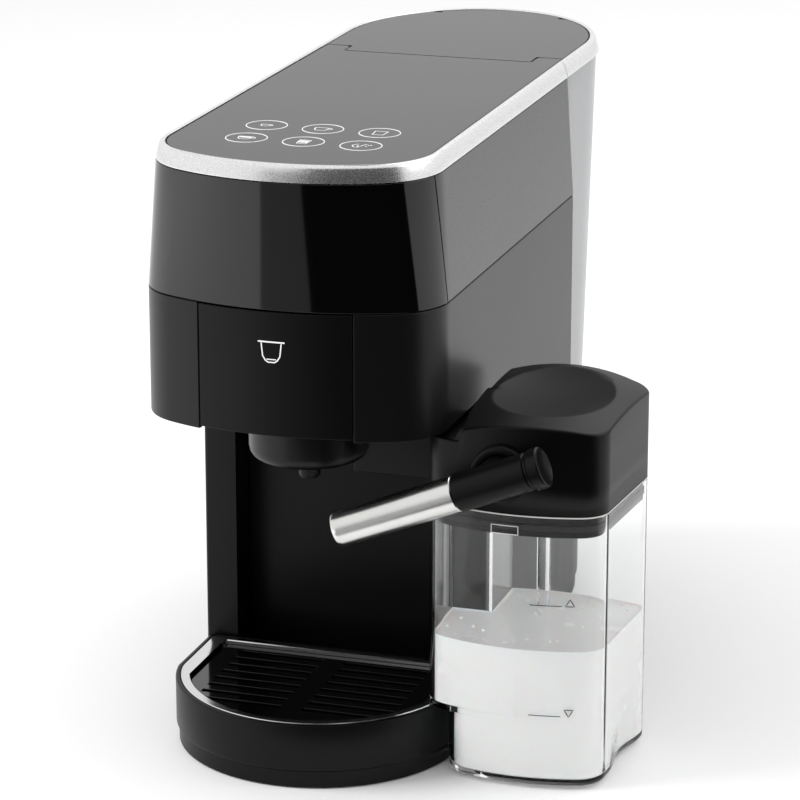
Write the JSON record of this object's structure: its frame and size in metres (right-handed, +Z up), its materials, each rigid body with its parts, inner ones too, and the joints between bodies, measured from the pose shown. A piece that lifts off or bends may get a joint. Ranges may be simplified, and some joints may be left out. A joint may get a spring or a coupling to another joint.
{
  "type": "pod coffee machine",
  "caption": "pod coffee machine with a bow-fronted head, slide-out pod drawer, drip tray, rear water tank and a clear plug-in milk container with a swivelling steel spout",
  "frame": {"origin": "middle of the bounding box, on the surface the machine stands on", "axes": "+Y runs from the front to the water tank at the back, +X to the right as seen from the front, +Z up"},
  "size_m": [0.199, 0.3504, 0.2669],
  "materials": {
    "satin": "satin dark grey moulding",
    "matte": "matte black moulding",
    "gloss": "high-gloss black",
    "panel": "smooth dark panel, soft reflections",
    "silver": "satin silver metallised plastic with a fine sparkle",
    "steel": "brushed stainless steel",
    "clear": "clear plastic",
    "smoke": "pale translucent plastic",
    "rubber": "black rubber",
    "metal": "bare metal",
    "board": "green circuit board",
    "hose": "natural tube",
    "brass": "turned brass"
  },
  "bodies": {
    "machine": {"base_plate": "matte", "foot_front_left": "rubber", "foot_front_right": "rubber", "foot_rear_left": "rubber", "foot_rear_right": "rubber", "left_side_panel": "satin", "right_side_panel": "satin", "column_front": "matte", "head_floor": "matte", "front_gloss_panel": "gloss", "left_upper_panel": "satin", "right_upper_panel": "satin", "head_trim_ring": "silver", "touch_panel": "panel", "top_frame": "matte", "rear_housing": "satin", "rear_bulkhead": "matte", "tank_socket": "matte", "mains_inlet": "matte", "coffee_outlet": "matte", "coffee_nozzle": "matte", "drawer_rail_left": "matte", "drawer_rail_right": "matte", "brew_head": "metal", "steam_port_block": "satin", "steam_nozzle": "metal", "pump": "metal", "pump_mount_lower": "rubber", "pump_mount_upper": "rubber", "heater_block": "metal", "steam_valve": "metal", "flow_meter": "hose", "control_board": "board", "touch_board": "board", "tank_hose": "hose", "pump_hose": "hose", "brew_hose": "hose", "steam_hose": "hose"},
    "pod_drawer": {"pod_drawer_front": "matte", "pod_carriage": "matte", "pod_holder": "metal"},
    "brew_piston": {"brew_piston": "brass"},
    "drip_tray": {"drip_tray": "satin", "tray_trim": "silver"},
    "drip_cover": {"drip_cover": "gloss"},
    "milk_jug": {"milk_container": "clear", "milk_lid_plug": "matte", "lid_gasket": "rubber", "milk_suction_tube": "clear", "milk_lid": "matte", "spout_pivot_ring": "matte"},
    "milk_spout": {"spout_arm": "matte", "spout_tube": "steel", "spout_cap": "matte"},
    "water_tank": {"water_tank": "smoke", "tank_trim_ring": "silver", "tank_valve": "matte"},
    "tank_lid": {"tank_lid": "panel"},
    "power_switch": {"power_switch": "matte"}
  },
  "joints": [
    {"name": "pod_drawer_slide", "type": "slide", "parent": "machine", "child": "pod_drawer", "axis": [0, -1, 0], "range_m": [0, 0.066]},
    {"name": "piston_press", "type": "slide", "parent": "machine", "child": "brew_piston", "axis": [0, 0, -1], "range_m": [0, 0.008]},
    {"name": "drip_tray_slide", "type": "slide", "parent": "machine", "child": "drip_tray", "axis": [0, -1, 0], "range_m": [0, 0.13]},
    {"name": "drip_cover_lift", "type": "slide", "parent": "drip_tray", "child": "drip_cover", "axis": [0, 0, 1], "range_m": [0, 0.05]},
    {"name": "milk_jug_slide", "type": "slide", "parent": "machine", "child": "milk_jug", "axis": [0, -1, 0], "range_m": [0, 0.1]},
    {"name": "spout_swivel", "type": "hinge", "parent": "milk_jug", "child": "milk_spout", "pos_m": [0.0539, -0.15225, 0.1375], "axis": [0, 1, 0], "range_deg": [-60, 27]},
    {"name": "water_tank_lift", "type": "slide", "parent": "machine", "child": "water_tank", "axis": [0, 0, 1], "range_m": [0, 0.2]},
    {"name": "tank_lid_hinge", "type": "hinge", "parent": "water_tank", "child": "tank_lid", "pos_m": [-0.0351, 0.15775, 0.26515], "axis": [-1, 0, 0], "range_deg": [0, 80]},
    {"name": "power_rocker", "type": "hinge", "parent": "machine", "child": "power_switch", "pos_m": [-0.0351, 0.15725, 0.072], "axis": [1, 0, 0], "range_deg": [0, 10]}
  ]
}
